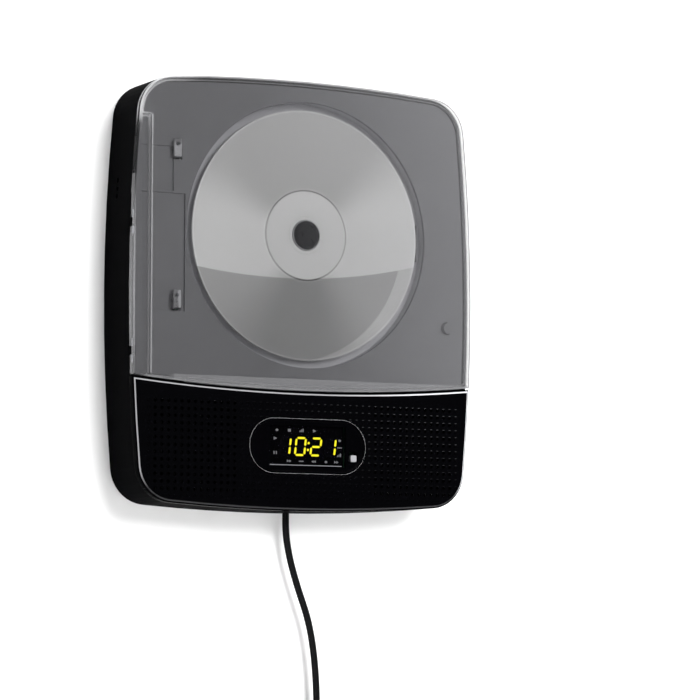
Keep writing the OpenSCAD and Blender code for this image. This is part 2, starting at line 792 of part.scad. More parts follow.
// The loudspeaker's parts are turned about its axis, heights counted from the wall
module speaker_basket(s) color("#6e7076") {
    translate([s * speaker_x, 0, speaker_z]) rotate([90, 0, 0]) difference() {
        rotate_extrude($fn = 96) polygon([
            [18.6, 25.6], [speaker_r, 25.6], [speaker_r, 24.2], [19.2, 23.8], [14, 13.4],
            [14, 12.4], [6.2, 12.4], [6.2, 13.6], [12.6, 13.6], [17.2, 24.6], [18.6, 24.6]
        ]);
        for (a = [0:60:300]) rotate(a + 30) translate([12, -3.2, 15]) cube([10, 6.4, 6.6]);
    }
}

module speaker_cone(s) color("#232326") {
    translate([s * speaker_x, 0, speaker_z]) rotate([90, 0, 0]) rotate_extrude($fn = 96) polygon([
        [0, 20], [3, 19.6], [5.4, 18.4], [15.6, 24.3], [16.1, 25], [16.9, 25.4], [17.6, 25.1],
        [18.5, 25.1], [18.5, 24.6], [17.2, 24.6], [16.5, 24.5], [15.9, 23.7], [5.6, 17.2],
        [5.6, 12.4], [4.8, 12.4], [4.8, 17.4], [0, 18.8]
    ]);
}

module speaker_magnet(s) color("#55575c") {
    translate([s * speaker_x, 0, speaker_z]) rotate([90, 0, 0]) rotate_extrude($fn = 96) polygon([
        [0, 4.4], [11.6, 4.4], [12, 4.8], [12, 6.2], [13, 6.2], [13, 11.2], [12, 11.2],
        [12, 12.4], [0, 12.4]
    ]);
}

module main_board() color("#1f5f3a") {
    back = board_y + board_t;
    difference() {
        slab(board_y, back) {
            translate([-45.5, 24]) square([33, 76], center = true);
            translate([-30, -14]) square([9, 11.5]);
        }
        for (p = board_points) rod(p.x, p.y, 1.1, board_y - 1, back + 1);
    }
    for (c = [[-50, 20, 9, 13], [-40, 44, 9, 6], [-54, 2, 7, 9]])
        slab(back - 0.1, back + 1.6) translate([c[0], c[1]]) square([c[2], c[3]], center = true);
    slab(back - 0.1, -13) translate([-26, -8]) square([9, 5], center = true);
}

module board_screws() color("#8d9096") {
    for (p = board_points) screw(p.x, p.y, 2, 1, board_y + board_t + 1, 1, 4);
}

module board_capacitors() color("#2b3f7a") {
    for (c = [[-55, 48, 4], [-45.5, 8, 3.2], [-38, 8, 3.2], [-57, 36, 2.6]])
        rod(c[0], c[1], c[2], board_y + board_t, -6.6);
}

module heat_sink() color("#a5a8ad") {
    slab(board_y + board_t, -14.2) translate([-37, 26]) square([15, 18], center = true);
    for (i = [-3:3])
        slab(-14.3, -7) translate([-37 + i * 2.3, 26]) square([1, 18], center = true);
}

module side_board() color("#1f5f3a") {
    box([69.6, socket_y + 3.2, 58.5], [side_x(85) - wall_t - 0.6, socket_y + 4.8, 84.5]);
}

module usb_socket() color("#a5a8ad") {
    mouth = side_x(usb_z) - 0.5;
    difference() {
        box([74, socket_y - 3.2, usb_z - 6.9], [mouth, socket_y + 3.2, usb_z + 6.9]);
        box([76, socket_y - 2.6, usb_z - 6.3], [mouth + 1, socket_y + 2.6, usb_z + 6.3]);
    }
}

module aux_socket() color("#232326") {
    mouth = side_x(aux_z) - 0.4;
    difference() {
        union() {
            box([76, socket_y - 3.2, aux_z - 3.2], [mouth - 3, socket_y + 3.2, aux_z + 3.2]);
            translate([mouth - 3.1, socket_y, aux_z]) rotate([0, 90, 0]) cylinder(h = 3.1, r = 3.1, $fn = 48);
        }
        translate([77.5, socket_y, aux_z]) rotate([0, 90, 0]) cylinder(h = 14, r = 1.8, $fn = 32);
    }
}

module button_board() color("#1f5f3a") {
    box([-46, button_y - 5, board_z], [46, button_y + 6, board_z + 1.6]);
}

module tact_switches() color("#c4c7cc") {
    for (i = [0:button_count - 1]) {
        x = (i - (button_count - 1) / 2) * button_pitch;
        box([x - 3, button_y - 3, board_z + 1.6], [x + 3, button_y + 3, board_z + 4.9]);
        translate([x, button_y, board_z + 4.8]) cylinder(h = 0.9, r = 1.7, $fn = 32);
    }
}

// Push button: cap through the top wall with a flange that keeps it in
module button(i) color("#2a2a2d") {
    x = (i - (button_count - 1) / 2) * button_pitch;
    low = board_z + 5.7 + button_travel + 0.35;
    cap = top_z(abs(x) + button_w / 2) + 0.7;
    translate([x, button_y, 0]) {
        translate([0, 0, low]) linear_extrude(1.1) round_rect(button_w + 1.8, button_depth + 1.8, 0.8);
        translate([0, 0, low + 1]) linear_extrude(cap - low - 1.4) round_rect(button_w, button_depth, 1);
        translate([0, 0, cap - 0.5]) linear_extrude(0.5) round_rect(button_w - 0.7, button_depth - 0.7, 0.8);
    }
}

// Bush in the bottom wall that grips the lead
module cord_clamp() color("#1a1a1c") {
    difference() {
        union() {
            box([cord_exit.x - 3.9, -9.4, -half_h + 0.1], [cord_exit.x + 3.9, -2.6, -half_h + 2.4]);
            box([cord_exit.x - 5.5, -10.6, -half_h + 2.15], [cord_exit.x + 5.5, -2.3, -half_h + 5.4]);
        }
        translate([cord_exit.x, cord_exit.y, -half_h - 1]) cylinder(h = 9, r = cord_d / 2, $fn = 48);
    }
}

// Rings of points round a path, each turned with the path's direction
function unit(v) = v / norm(v);
function heading(path, i) = unit(path[min(i + 1, len(path) - 1)] - path[max(i - 1, 0)]);
function ring(p, dir, r, sides) =
    let (u = unit(cross(dir, [0, 1, 0.001])), w = cross(u, dir))
    [for (k = [0:sides - 1]) p + r * (cos(360 * k / sides) * u + sin(360 * k / sides) * w)];

module tube(path, r, sides) {
    n = len(path);
    pts = [for (i = [0:n - 1]) each ring(path[i], heading(path, i), r, sides)];
    polyhedron(
        pts,
        concat(
            [[for (k = [sides - 1:-1:0]) k]],
            [for (i = [0:n - 2], k = [0:sides - 1])
                let (a = i * sides + k, b = i * sides + (k + 1) % sides)
                each [[a, b, b + sides], [a, b + sides, a + sides]]],
            [[for (k = [0:sides - 1]) (n - 1) * sides + k]]
        )
    );
}

module power_cord() color("#121214") {
    tube(cord_route, cord_d / 2, 8);
}

// The coil's line: its radius and layer after so many turns, and the place there.
// It climbs to the next layer in the half turn round each place where the spiral reverses.
coil_out_r = coil_in_r + coil_turns * coil_step;
coil_all_turns = coil_turns * coil_layers;
function coil_r(t) =
    let (layer = min(floor(t / coil_turns), coil_layers - 1), share = t / coil_turns - layer)
    coil_in_r + coil_step * coil_turns * (layer % 2 == 0 ? 1 - share : share);
function climbs(t, j) = j == 0 ? 0 : climbs(t, j - 1) + min(max(2 * (t - j * coil_turns) + 0.5, 0), 1);
function coil_point(t) = [
    coil_x + coil_r(t) * cos(360 * t),
    coil_y - coil_step * climbs(t, coil_layers - 1),
    coil_z - coil_r(t) * sin(360 * t)
];
coil_end = coil_point(coil_all_turns);
coil_path = concat(
    [coil_point(0) + [0, 0, cord_d]],
    [for (i = [0:coil_all_turns * coil_rings]) coil_point(i / coil_rings)],
    [coil_end - [0, 0, cord_d]]
);

// The least gap between turns, measured on the line's points a good third of a turn apart
coil_gaps = [
    for (i = [0:len(coil_path) - 9], j = [i + 9:len(coil_path) - 1])
    norm(coil_path[i] - coil_path[j]) - cord_d
];
echo(least_gap_between_turns = min(coil_gaps));

module cord_coil() color("#121214") {
    tube(coil_path, cord_d / 2, coil_sides);
}

// The last stretch, from the coil down into the adapter
adapter_top = coil_end.z - 40;
module cord_tail() color("#121214") {
    from = coil_end - [0, 0, cord_d];
    tube([
        from, from + [0, 0, -6], from + [0, 0.1, -12], from + [0, 0.2, -18],
        from + [0, 0.3, -25], [from.x, from.y + 0.3, adapter_top]
    ], cord_d / 2, 8);
}

module cord_tie() color("#2a2a2c") {
    mid = (coil_in_r + coil_out_r) / 2;
    span = coil_out_r - coil_in_r + cord_d + 2.4;
    deep = coil_step * (coil_layers - 1) + cord_d + 2.4;
    translate([coil_x - mid, coil_y - coil_step * (coil_layers - 1) / 2, coil_z]) difference() {
        cube([span, deep, 6], center = true);
        cube([span - 1.6, deep - 1.6, 8], center = true);
    }
}

// Plug-in adapter: rounded body, stepped face round the pins and a ribbed neck for the lead
module plug_adapter() color("#151517") {
    body_top = adapter_top - 12;
    body_bottom = body_top - 40;
    translate([coil_end.x, coil_end.y + 0.3, 0]) {
        difference() {
            union() {
                translate([0, 0, body_bottom]) linear_extrude(40) round_rect(36, 25, 5);
                translate([0, 0, body_bottom - 5]) linear_extrude(5.1) round_rect(32, 15, 5);
                translate([0, 0, body_top - 0.1]) rotate_extrude($fn = 48)
                    polygon([[0, 0], [5, 0], [4.2, 2], [3, 12.1], [0, 12.1]]);
            }
            translate([0, 0, adapter_top - 1]) cylinder(h = 2, r = cord_d / 2, $fn = 32);
            for (s = [-1, 1])
                translate([s * 9.5, 0, body_bottom - 6]) cylinder(h = 7, r = 2, $fn = 48);
        }
    }
}

module plug_pins() color("#c4c7cc") {
    low = adapter_top - 12 - 40 - 5;
    for (s = [-1, 1])
        translate([coil_end.x + s * 9.5, coil_end.y + 0.3, low]) {
            translate([0, 0, -17]) cylinder(h = 23, r = 2, $fn = 48);
            translate([0, 0, -19]) cylinder(h = 2.1, r1 = 1.2, r2 = 2, $fn = 48);
        }
}

main_housing();
disc_deck();
rear_cover();
rear_cover_screws();
speaker_grille();
display_window();
lcd_module();
indicator_lens();
display_board();
display_ribbon();
lid();
hinge_pins();
stop_arms();
stop_arm_screws();
latch_body();
latch_plunger();
lid_sensor();
disc();
turntable();
spindle_shaft();
chuck_balls();
spindle_motor();
mechanism_chassis();
guide_rods();
pickup_sled();
objective_lens();
sled_rack();
sled_gear();
motor_pinion();
sled_motor();
damper_grommets();
mechanism_screws();
speaker_basket(-1);  // speaker_basket_left
speaker_basket(1);  // speaker_basket_right
speaker_cone(-1);  // speaker_cone_left
speaker_cone(1);  // speaker_cone_right
speaker_magnet(-1);  // speaker_magnet_left
speaker_magnet(1);  // speaker_magnet_right
main_board();
board_screws();
board_capacitors();
heat_sink();
side_board();
usb_socket();
aux_socket();
button_board();
tact_switches();
button(0);  // button_1
button(1);  // button_2
button(2);  // button_3
button(3);  // button_4
button(4);  // button_5
button(5);  // button_6
cord_clamp();
power_cord();
cord_coil();
cord_tail();
cord_tie();
plug_adapter();
plug_pins();
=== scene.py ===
# %% [markdown]
# # Wall mounted disc player
# This notebook dresses the player: it loads the built frame, hangs the lead, gives every
# piece a material, adds the display's segments and the signs, and sets the light.
# Places are worked out in millimetres and handed to the scene in metres.
# The origin is the centre of the back face. X goes right, Y into the wall, Z up.

# %% Load the frame
import json
import math

import bpy
import bmesh
from mathutils import Matrix, Vector

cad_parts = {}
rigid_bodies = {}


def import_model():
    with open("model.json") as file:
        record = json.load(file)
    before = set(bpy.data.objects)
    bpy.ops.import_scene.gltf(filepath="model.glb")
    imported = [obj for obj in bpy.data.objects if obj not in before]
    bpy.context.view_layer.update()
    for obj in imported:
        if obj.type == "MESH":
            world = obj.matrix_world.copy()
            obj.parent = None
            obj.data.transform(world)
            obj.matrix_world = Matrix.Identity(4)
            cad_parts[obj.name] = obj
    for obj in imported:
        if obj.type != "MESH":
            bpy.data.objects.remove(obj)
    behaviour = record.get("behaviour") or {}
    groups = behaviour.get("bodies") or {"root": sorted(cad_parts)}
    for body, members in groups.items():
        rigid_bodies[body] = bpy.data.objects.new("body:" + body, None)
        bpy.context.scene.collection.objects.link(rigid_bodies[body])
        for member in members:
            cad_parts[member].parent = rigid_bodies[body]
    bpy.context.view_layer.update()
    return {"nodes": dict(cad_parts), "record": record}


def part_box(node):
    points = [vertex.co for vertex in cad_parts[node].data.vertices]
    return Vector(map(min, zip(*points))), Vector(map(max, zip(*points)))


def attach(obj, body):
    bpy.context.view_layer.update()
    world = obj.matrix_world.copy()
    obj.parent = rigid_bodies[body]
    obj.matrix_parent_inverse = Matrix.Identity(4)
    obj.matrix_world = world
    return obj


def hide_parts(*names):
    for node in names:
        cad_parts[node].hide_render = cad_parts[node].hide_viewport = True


for old in list(bpy.data.objects):
    bpy.data.objects.remove(old, do_unlink=True)
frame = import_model()
nodes = frame["nodes"]
MM = 0.001

# %% [markdown]
# ## The camera
# It stands low and to the left of the player and looks up a little, as the photograph does.
# Its place and its turns come from fitting the outline of the body and the round disc.

# %% Camera
CAMERA_PLACE = Vector((-697.8, -1387.5, -161.1)) * MM
YAW, PITCH, ROLL = (math.radians(a) for a in (28.02, 5.06, 0.09))
FOCAL_MM = 3230 / 700 * 36

forward = Vector((math.sin(YAW) * math.cos(PITCH), math.cos(YAW) * math.cos(PITCH), math.sin(PITCH)))
level = Vector((math.cos(YAW), -math.sin(YAW), 0))
over = level.cross(forward)
right = level * math.cos(ROLL) + over * math.sin(ROLL)
up = over * math.cos(ROLL) - level * math.sin(ROLL)

camera = bpy.data.objects.new("camera", bpy.data.cameras.new("camera"))
bpy.context.scene.collection.objects.link(camera)
camera.data.lens = FOCAL_MM
camera.data.sensor_width = 36
camera.data.clip_start = 0.05
camera.data.clip_end = 20
camera.matrix_world = Matrix.Translation(CAMERA_PLACE) @ Matrix((right, up, -forward)).transposed().to_4x4()
bpy.context.scene.camera = camera

# %% [markdown]
# ## Small helpers
# `add` puts one node into a material with its settings and links, and `calc` a single sum.
# `prism` raises an outline to a thickness, `joined` puts several shapes into one, and
# `mesh_piece` turns points and faces into an object that rides on a body.

# %% Helpers
def linear(hex_colour, alpha=1.0):
    """A hex colour as the linear values that the shaders take."""
    parts = [int(hex_colour[i:i + 2], 16) / 255 for i in (1, 3, 5)]
    return [c / 12.92 if c <= 0.04045 else ((c + 0.055) / 1.055) ** 2.4 for c in parts] + [alpha]


def add(tree, kind, inputs=None, **settings):
    """One node: settings by name, inputs as values or as sockets to link."""
    node = tree.nodes.new(kind)
    for name, value in settings.items():
        setattr(node, name, value)
    for name, value in (inputs or {}).items():
        if isinstance(value, bpy.types.NodeSocket):
            tree.links.new(value, node.inputs[name])
        else:
            node.inputs[name].default_value = value
    return node


def calc(tree, how, a, b=0.0):
    """One sum in a material, returned as its result."""
    return add(tree, "ShaderNodeMath", {0: a, 1: b}, operation=how).outputs[0]


def step_between(tree, value, low, high):
    """0 below low, 1 above high, smooth in between."""
    limits = {0: value, 1: low, 2: high}
    return add(tree, "ShaderNodeMapRange", limits, interpolation_type="SMOOTHSTEP").outputs[0]


def spread(tree, share, low, high):
    """A share from 0 to 1 as a value from low to high."""
    return add(tree, "ShaderNodeMapRange", {0: share, 3: low, 4: high}).outputs[0]


def mixed(tree, share, under, over):
    """One colour over another, by a share from 0 to 1."""
    return add(tree, "ShaderNodeMix", {0: share, 6: under, 7: over}, data_type="RGBA").outputs[2]


def mesh_piece(name, points, faces, material, body, slot, smooth=False):
    mesh = bpy.data.meshes.new(name)
    mesh.from_pydata([Vector(p) * MM for p in points], [], faces)
    mesh.update()
    tidy = bmesh.new()
    tidy.from_mesh(mesh)
    bmesh.ops.recalc_face_normals(tidy, faces=tidy.faces)
    tidy.to_mesh(mesh)
    tidy.free()
    mesh.materials.append(material)
    for face in mesh.polygons:
        face.use_smooth = smooth
    piece = bpy.data.objects.new(name, mesh)
    bpy.context.scene.collection.objects.link(piece)
    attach(piece, body)
    return piece


def prism(outline, low, high, place):
    """Points and faces of an outline raised from low to high; place maps (u, v, h) to a point."""
    n = len(outline)
    points = [place(u, v, h) for h in (low, high) for u, v in outline]
    faces = [list(range(n))[::-1], list(range(n, 2 * n))]
    faces += [[i, (i + 1) % n, n + (i + 1) % n, n + i] for i in range(n)]
    return points, faces


def joined(shapes):
    """Several lots of points and faces as one."""
    points, faces = [], []
    for some, more in shapes:
        faces += [[i + len(points) for i in f] for f in more]
        points += some
    return points, faces


# %% [markdown]
# ## The lead
# A flat twin lead leaves the bush in the bottom edge, hangs down out of the picture and is
# wound into a neat coil there, four layers deep, before it goes into its adapter. The line
# is the same as in the built part: listed points, then the coil's formula.

# %% Route of the lead
ROUTE = [
    (2.6, -6, -100.5), (2.6, -6, -102.5), (2.6, -6, -108), (3, -6, -114), (4, -6, -120),
    (5.4, -6, -126), (7.2, -6, -132), (9.2, -6, -138), (11.4, -6, -144), (13.6, -6, -150),
    (15.6, -6, -157), (17.2, -6, -165), (18.4, -6, -174), (19.2, -6, -184),
    (19.6, -6, -195), (19.7, -6, -206), (19.7, -6, -216.5),
]
COIL_TURNS, COIL_LAYERS, COIL_STEP, COIL_IN = 2.75, 4, 4.1, 14.5
COIL_CENTRE = (19.7 - COIL_IN - COIL_TURNS * COIL_STEP, -6, -220)
COIL_RINGS = 24
ADAPTER_TOP = -260


def between(a, b, c, d, t):
    """A point on the smooth curve from b to c."""
    return tuple(
        0.5 * (2 * q + (r - p) * t + (2 * p - 5 * q + 4 * r - s) * t * t + (3 * q - p - 3 * r + s) * t ** 3)
        for p, q, r, s in zip(a, b, c, d)
    )


def coil_point(turn):
    layer = min(int(turn / COIL_TURNS), COIL_LAYERS - 1)
    share = turn / COIL_TURNS - layer
    radius = COIL_IN + COIL_STEP * COIL_TURNS * (share if layer % 2 else 1 - share)
    climbs = sum(min(max(2 * (turn - j * COIL_TURNS) + 0.5, 0), 1) for j in range(1, COIL_LAYERS))
    angle = 2 * math.pi * turn
    x, y, z = COIL_CENTRE
    return x + radius * math.cos(angle), y - COIL_STEP * climbs, z - radius * math.sin(angle)


line = []
for i in range(len(ROUTE) - 1):
    near = [ROUTE[max(i - 1, 0)], ROUTE[i], ROUTE[i + 1], ROUTE[min(i + 2, len(ROUTE) - 1)]]
    line += [between(*near, k / 3) for k in range(3)]
line.append(ROUTE[-1])
turns = COIL_TURNS * COIL_LAYERS
line += [coil_point(i / COIL_RINGS) for i in range(int(turns * COIL_RINGS) + 1)]
end = Vector(line[-1])
line += [tuple(end + Vector(v)) for v in (
    (0, 0, -3.5), (0, 0, -9.5), (0, 0.1, -15.5), (0, 0.2, -21.5), (0, 0.3, -28.5), (0, 0.3, -34),
)]
line.append((end.x, end.y + 0.3, ADAPTER_TOP))

# %% [markdown]
# ## Materials
# Every material has its own colour change, roughness and fine relief. `plain` makes them
# all. The lid, deck, disc, hub, window, grille and boards then get more, laid out by place
# on the piece: `within` and `rise` take those places in millimetres.

# %% The common material
WEAR, RELIEF_DEPTH = 0.06, 0.2


def coords(tree):
    return add(tree, "ShaderNodeTexCoord").outputs["Object"]


def axes(tree):
    """The x, y and z of the surface's points, in metres."""
    return add(tree, "ShaderNodeSeparateXYZ", {0: coords(tree)}).outputs


def bend(tree, radius, samples):
    """1 on a flat face, less the nearer an edge lies within a radius in millimetres."""
    flat = add(tree, "ShaderNodeNewGeometry").outputs["True Normal"]
    turned = add(tree, "ShaderNodeBevel", {"Radius": radius * MM}, samples=samples).outputs[0]
    both = {0: flat, 1: turned}
    return add(tree, "ShaderNodeVectorMath", both, operation="DOT_PRODUCT").outputs["Value"]


def plain(name, colour, rough, metal=0.0, grain=900.0, relief=0.04, mottle=0.10, edge=0.0, coat=0.0,
          alpha=1.0, gloss=0.5, streak=None, shine=None, painted_edge_highlight=None, ior=1.5):
    """A surface with colour mottling, rough and smooth spots, a fine grain and softened edges.
    A lighter edge colour, if given, is painted near the edges as a highlight."""
    material = bpy.data.materials.new(name)
    material.use_nodes = True
    tree = material.node_tree
    surface = tree.nodes["Principled BSDF"]
    where = coords(tree)
    if streak:
        where = add(tree, "ShaderNodeVectorMath", {0: where, 1: streak}, operation="MULTIPLY").outputs[0]
    broad, fine = (
        add(tree, "ShaderNodeTexNoise", {"Vector": where, "Scale": scale, "Detail": detail}).outputs[0]
        for scale, detail in ((grain / 12, 4.0), (grain, 3.0))
    )
    base = linear(colour)
    darker = [c * (1 - mottle) for c in base[:3]] + [1]
    lighter = [min(c * (1 + mottle), 1) for c in base[:3]] + [1]
    tones = mixed(tree, broad, darker, lighter)
    # painted highlight: the lighter edge colour is mixed in where the faces bend near an edge
    if painted_edge_highlight:
        limits = {0: bend(tree, 0.4 * edge, 6), 1: 0.985, 2: 0.86, 3: 0.0, 4: 1.0}
        edge_highlight_share = add(tree, "ShaderNodeMapRange", limits).outputs[0]
        edge_highlight_share.node.name = "edge_highlight_share"
        tones = mixed(tree, edge_highlight_share, tones, linear(painted_edge_highlight))
    tree.links.new(tones, surface.inputs["Base Color"])
    worn = spread(tree, fine, max(rough - WEAR, 0.02), min(rough + WEAR, 1))
    tree.links.new(worn, surface.inputs["Roughness"])
    bump = add(tree, "ShaderNodeBump", {"Height": fine, "Strength": relief, "Distance": RELIEF_DEPTH * MM})
    if edge:
        soft = add(tree, "ShaderNodeBevel", {"Radius": edge * MM}, samples=4)
        tree.links.new(soft.outputs[0], bump.inputs["Normal"])
    tree.links.new(bump.outputs[0], surface.inputs["Normal"])
    for socket, value in (
        ("Metallic", metal), ("Coat Weight", coat), ("Alpha", alpha), ("Specular IOR Level", gloss),
        ("IOR", ior),
    ):
        surface.inputs[socket].default_value = value
    if shine:
        surface.inputs["Emission Color"].default_value = linear(colour)
        surface.inputs["Emission Strength"].default_value = shine
    material.diffuse_color = base[:3] + [alpha]
    return material


def shader_of(material):
    return material.node_tree, material.node_tree.nodes["Principled BSDF"]


def overlay(tree, surface, share, colour):
    """Mixes a colour over the base colour by a share from 0 to 1."""
    under = surface.inputs["Base Color"].links[0].from_socket
    tree.links.new(mixed(tree, share, under, linear(colour)), surface.inputs["Base Color"])


def product(first, *others):
    """The product of sockets of the material that is being made, and of numbers."""
    result = first
    for value in others:
        result = calc(first.id_data, "MULTIPLY", result, value)
    return result


def within(tree, value, low, high):
    """1 where a coordinate in metres lies between two places in millimetres."""
    above = calc(tree, "GREATER_THAN", value, low * MM)
    return product(above, calc(tree, "LESS_THAN", value, high * MM))


def rise(tree, value, low, high):
    """From 0 to 1 as a coordinate in metres goes from one place in millimetres to another."""
    return step_between(tree, value, low * MM, high * MM)


def band(tree, value, low, high, soft):
    """1 between low and high, with soft edges."""
    above = step_between(tree, value, low - soft, low + soft)
    return product(above, step_between(tree, value, high + soft, high - soft))


# %% Plain surfaces
housing_black = plain("housing_black", "#050506", 0.6, grain=2200, relief=0.12, edge=0.5, gloss=0.4,
                      ior=1.04)
deck_grey = plain("deck_grey", "#78787b", 0.6, grain=1800, relief=0.10, edge=0.3, gloss=0.2)
dark_plastic = plain("dark_plastic", "#2e2e32", 0.5, grain=1600, relief=0.08, edge=0.2, gloss=0.3, ior=1.3)
button_black = plain("button_black", "#161618", 0.42, grain=1800, relief=0.05, edge=0.25)
tongue_white = plain("tongue_white", "#d9d8d2", 0.45, grain=900, relief=0.05, edge=0.2)
steel = plain("steel", "#b9bcc2", 0.28, metal=1.0, grain=1400, relief=0.05, streak=(1, 1, 0.15))
chassis_metal = plain("chassis_metal", "#a9a69e", 0.42, metal=0.6, grain=1200, relief=0.06)
gear_nylon = plain("gear_nylon", "#dfdacb", 0.5, grain=800, relief=0.04)
brass = plain("brass", "#c6a24a", 0.3, metal=1.0, grain=1500, relief=0.04)
rubber_black = plain("rubber_black", "#151516", 0.7, grain=1400, relief=0.12, gloss=0.3)
basket_steel = plain("basket_steel", "#66686d", 0.4, metal=0.8, grain=900, relief=0.05)
cone_paper = plain("cone_paper", "#1d1d1e", 0.9, grain=1500, relief=0.3, gloss=0.1)
magnet_ferrite = plain("magnet_ferrite", "#38393c", 0.6, metal=0.3, grain=1100, relief=0.12)
capacitor_blue = plain("capacitor_blue", "#22386f", 0.3, grain=700, relief=0.03)
heat_sink_alu = plain("heat_sink_alu", "#9a9da2", 0.35, metal=1.0, grain=1500, relief=0.08,
                      streak=(1, 1, 0.1))
ribbon_grey = plain("ribbon_grey", "#cfcfc8", 0.45, grain=1500, relief=0.05, streak=(8, 1, 0.1))
adapter_black = plain("adapter_black", "#121214", 0.55, grain=1500, relief=0.15, edge=0.6, gloss=0.3)
pin_metal = plain("pin_metal", "#c9cbd0", 0.2, metal=1.0, grain=1200, relief=0.02)
cord_black = plain("cord_black", "#080809", 0.36, grain=1500, relief=0.05, gloss=0.5, ior=1.16)
white_lens = plain("white_lens", "#7c7c80", 0.35, grain=700, relief=0.02, shine=0.1)
lens_blue = plain("lens_blue", "#8294c8", 0.06, grain=500, relief=0.0, coat=1.0, gloss=0.8)
sign_white = plain("sign_white", "#c9c9cb", 0.5, grain=900, relief=0.03)
lcd_dark = plain("lcd_dark", "#040307", 0.25, grain=500, relief=0.01, mottle=0.2, ior=1.1)
segment_lit = plain("segment_lit", "#fff21a", 0.4, grain=900, relief=0.0, shine=2.2)
segment_off = plain("segment_off", "#0c0a12", 0.3, grain=900, relief=0.0, ior=1.1)
mark_grey = plain("mark_grey", "#9c9ca2", 0.4, grain=900, relief=0.0, shine=0.55)
glow_line = plain("glow_line", "#c4c5cc", 0.3, grain=600, relief=0.0, shine=0.7)
# The lighter edge colour #e4e4e8 is a highlight painted along the window's edges.
window_black = plain("window_black", "#020203", 0.08, grain=500, relief=0.0, alpha=0.5, edge=0.45,
                     gloss=0.15, painted_edge_highlight="#e4e4e8", ior=1.12)
contact_gold = plain("contact_gold", "#d3ab55", 0.25, metal=1.0, grain=1100, relief=0.02)
cover_charcoal = plain("cover_charcoal", "#222225", 0.6, grain=1500, relief=0.15, edge=0.4, gloss=0.4,
                       ior=1.4)
arm_grey = plain("arm_grey", "#9c9c9f", 0.5, grain=1600, relief=0.05, edge=0.2, gloss=0.3)

# %% [markdown]
# ## The lid and the deck behind it
# The lid is a thin smoked plate: about three tenths of it is haze and the rest lets the
# disc show through. The haze is a little uneven, as moulded plates are, and its colour is
# painted paler towards the right as a painted sheen. It is denser at the upright rib, along
# the hinge, on the lip at the bottom and near the outer edge, and these places are also
# painted paler as highlights; the painted highlight is brightest at the upper left corner.

# %% Smoked lid
RIB_X, RIB_Z = (-80.9, -80.2), (-40, 81)
HINGE_RIM_X = -88.9
LIP_X, LIP_Z = (-69, 100), (-45.6, -40)
OUTER_RIM = 2.4
HAZE_LOW, HAZE_HIGH = 0.28, 0.32
THICK_HAZE, RIM_HAZE = 0.18, 0.36
# The lighter edge colour #8a8a8c is a highlight painted along the lid's edges.
lid_smoked = plain("lid_smoked", "#1e1e20", 0.32, grain=240, relief=0.01, mottle=0.03, edge=0.7,
                   alpha=0.3, painted_edge_highlight="#8a8a8c", ior=1.14)
tree, surface = shader_of(lid_smoked)
x, y, z = axes(tree)
cloud = add(tree, "ShaderNodeTexNoise", {"Vector": coords(tree), "Scale": 14.0, "Detail": 2.0}).outputs[0]
milky = spread(tree, cloud, HAZE_LOW, HAZE_HIGH)
# Painted sheen: the colour is painted paler towards the right and a little towards the top.
painted_sheen_across = calc(tree, "ADD", x, product(z, 0.15))
overlay(tree, surface, rise(tree, painted_sheen_across, -30, 120), "#606062")

# Denser haze and a painted highlight: the rib, the hinge side and the lip are made denser and painted
# paler.
rib = product(within(tree, x, *RIB_X), within(tree, z, *RIB_Z), 0.55)
hinge_rim = product(calc(tree, "LESS_THAN", x, HINGE_RIM_X * MM), 0.6)
lip = product(within(tree, z, *LIP_Z), within(tree, x, *LIP_X), 0.24)
thick = calc(tree, "MAXIMUM", calc(tree, "MAXIMUM", rib, hinge_rim), lip)
overlay(tree, surface, thick, "#b4b4b6")

# Painted highlight along the outer edge, brightest at the upper left corner; the edge is also made denser.
limits = {0: bend(tree, OUTER_RIM, 8), 1: 0.98, 2: 0.8, 3: 0.0, 4: 1.0}
off_hinge = calc(tree, "MAXIMUM", rise(tree, x, -88, -80), rise(tree, z, 72, 82))
outer = product(add(tree, "ShaderNodeMapRange", limits).outputs[0], off_hinge)
corner = product(rise(tree, z, 70, 85), rise(tree, x, -50, -75))
overlay(tree, surface, product(outer, 0.8), "#8c8c8e")
overlay(tree, surface, product(outer, corner, 0.8), "#f0f0f2")

denser = calc(tree, "ADD", milky, product(thick, THICK_HAZE))
denser = calc(tree, "ADD", denser, product(outer, RIM_HAZE))
tree.links.new(denser, surface.inputs["Alpha"])

# %% Deck: the deep floor of the well is painted paler, to lift the shade that falls there
WELL_FLOOR_Y = (-26.5, -25.5)
tree, surface = shader_of(deck_grey)
overlay(tree, surface, rise(tree, axes(tree)[1], *WELL_FLOOR_Y), "#c4c4c8")

# %% [markdown]
# ## The disc and its hub
# The blank disc has a plain hub between fine rings. Its data area carries a painted
# reflection: a soft fan of light on either side, and a darker lower field with a paler
# crescent in it. It has a bright rim. All of it turns with the disc. The hub under it is
# black with a pale edge.

# %% Disc surface
DISC = (3.0, 29.4)
disc_silver = plain("disc_silver", "#c4c4c6", 0.3, grain=800, relief=0.01, mottle=0.02)


def distance(tree, u, v):
    return calc(tree, "SQRT", calc(tree, "ADD", product(u, u), product(v, v)))


def from_disc_axis(tree):
    """Right, up and away from the disc's axis, in millimetres."""
    x, _, z = axes(tree)
    du, dv = (product(calc(tree, "SUBTRACT", value, c * MM), 1000.0) for value, c in zip((x, z), DISC))
    return du, dv, distance(tree, du, dv)


tree, surface = shader_of(disc_silver)
du, dv, radius = from_disc_axis(tree)
angle = calc(tree, "ARCTAN2", dv, du)


def wrapped(value):
    node = add(tree, "ShaderNodeMath", {0: value, 1: math.pi, 2: -math.pi}, operation="WRAP")
    return node.outputs[0]


def painted_fan(where, near, far):
    """A painted fan of reflected light: full up to near from its middle, gone at far."""
    away = calc(tree, "ABSOLUTE", wrapped(calc(tree, "SUBTRACT", angle, math.radians(where))))
    return step_between(tree, away, math.radians(far), math.radians(near))


